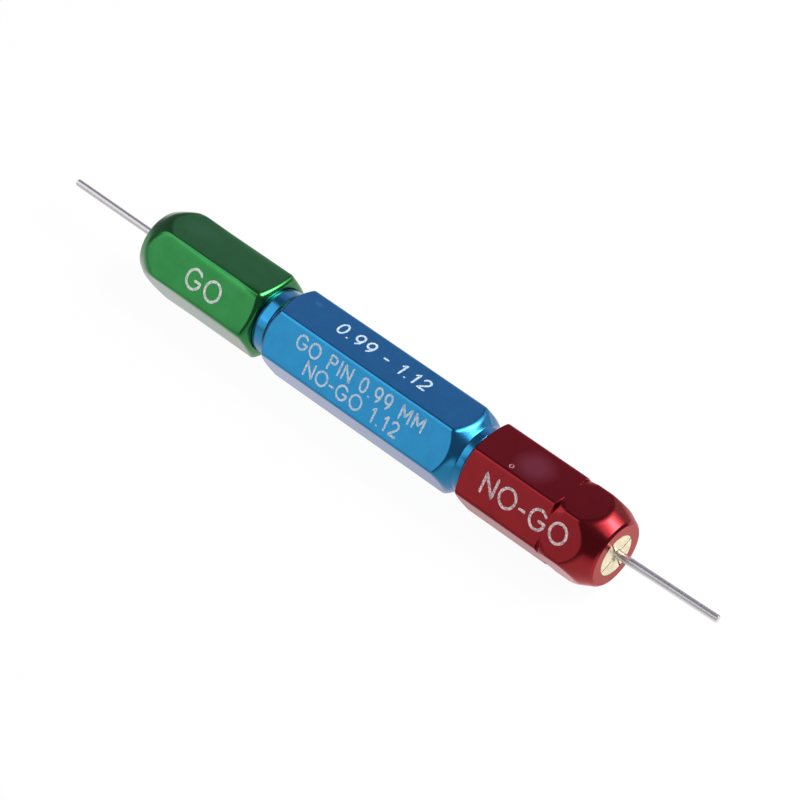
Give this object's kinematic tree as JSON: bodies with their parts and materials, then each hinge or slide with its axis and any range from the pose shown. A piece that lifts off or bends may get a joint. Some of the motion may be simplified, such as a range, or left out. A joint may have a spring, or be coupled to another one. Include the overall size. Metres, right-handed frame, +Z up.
{
  "type": "plug gauge",
  "caption": "Double-ended go and no-go pin gauge: hexagonal aluminium handle, hexagonal collet nuts on both ends and a thin steel pin held in a slotted brass collet at each.",
  "frame": {"origin": "centre of the handle's lower flat, below the middle of the gauge", "axes": "+X along the gauge's axis towards the NO-GO pin, +Z up, away from the surface that the handle's flat faces"},
  "size_m": [0.1122, 0.0128, 0.0115],
  "materials": {
    "blue_anodised": "dyed anodised, satin",
    "green_anodised": "dyed anodised, satin",
    "red_anodised": "dyed anodised, satin",
    "brass": "faced and slotted, dull",
    "pin_steel": "ground"
  },
  "bodies": {
    "handle": {"handle": "blue_anodised"},
    "go_collet": {"go_collet": "brass"},
    "go_nut": {"go_nut": "green_anodised"},
    "go_pin": {"go_pin": "pin_steel"},
    "nogo_collet": {"nogo_collet": "brass"},
    "nogo_nut": {"nogo_nut": "red_anodised"},
    "nogo_pin": {"nogo_pin": "pin_steel"}
  },
  "joints": [
    {"name": "go_nut_travel", "type": "slide", "parent": "handle", "child": "go_collet", "axis": [-1, 0, 0], "range_m": [0, 0.00699]},
    {"name": "go_nut_turn", "type": "hinge", "parent": "go_collet", "child": "go_nut", "pos_m": [-0.02987, 0, 0.00556], "axis": [-1, 0, 0], "range_deg": [0, 3168]},
    {"name": "go_pin_slide", "type": "slide", "parent": "go_collet", "child": "go_pin", "axis": [-1, 0, 0], "range_m": [-0.0015, 0.0325]},
    {"name": "nogo_nut_travel", "type": "slide", "parent": "handle", "child": "nogo_collet", "axis": [1, 0, 0], "range_m": [0, 0.00699]},
    {"name": "nogo_nut_turn", "type": "hinge", "parent": "nogo_collet", "child": "nogo_nut", "pos_m": [0.02987, 0, 0.00556], "axis": [1, 0, 0], "range_deg": [0, 3168]},
    {"name": "nogo_pin_slide", "type": "slide", "parent": "nogo_collet", "child": "nogo_pin", "axis": [0.9997, 0.0198, 0.0172], "range_m": [-0.0005, 0.034]}
  ],
  "couplings": [
    {"joint": "go_nut_travel", "follows": "go_nut_turn", "m_per_rad": 0.00012633},
    {"joint": "nogo_nut_travel", "follows": "nogo_nut_turn", "m_per_rad": 0.00012633}
  ]
}
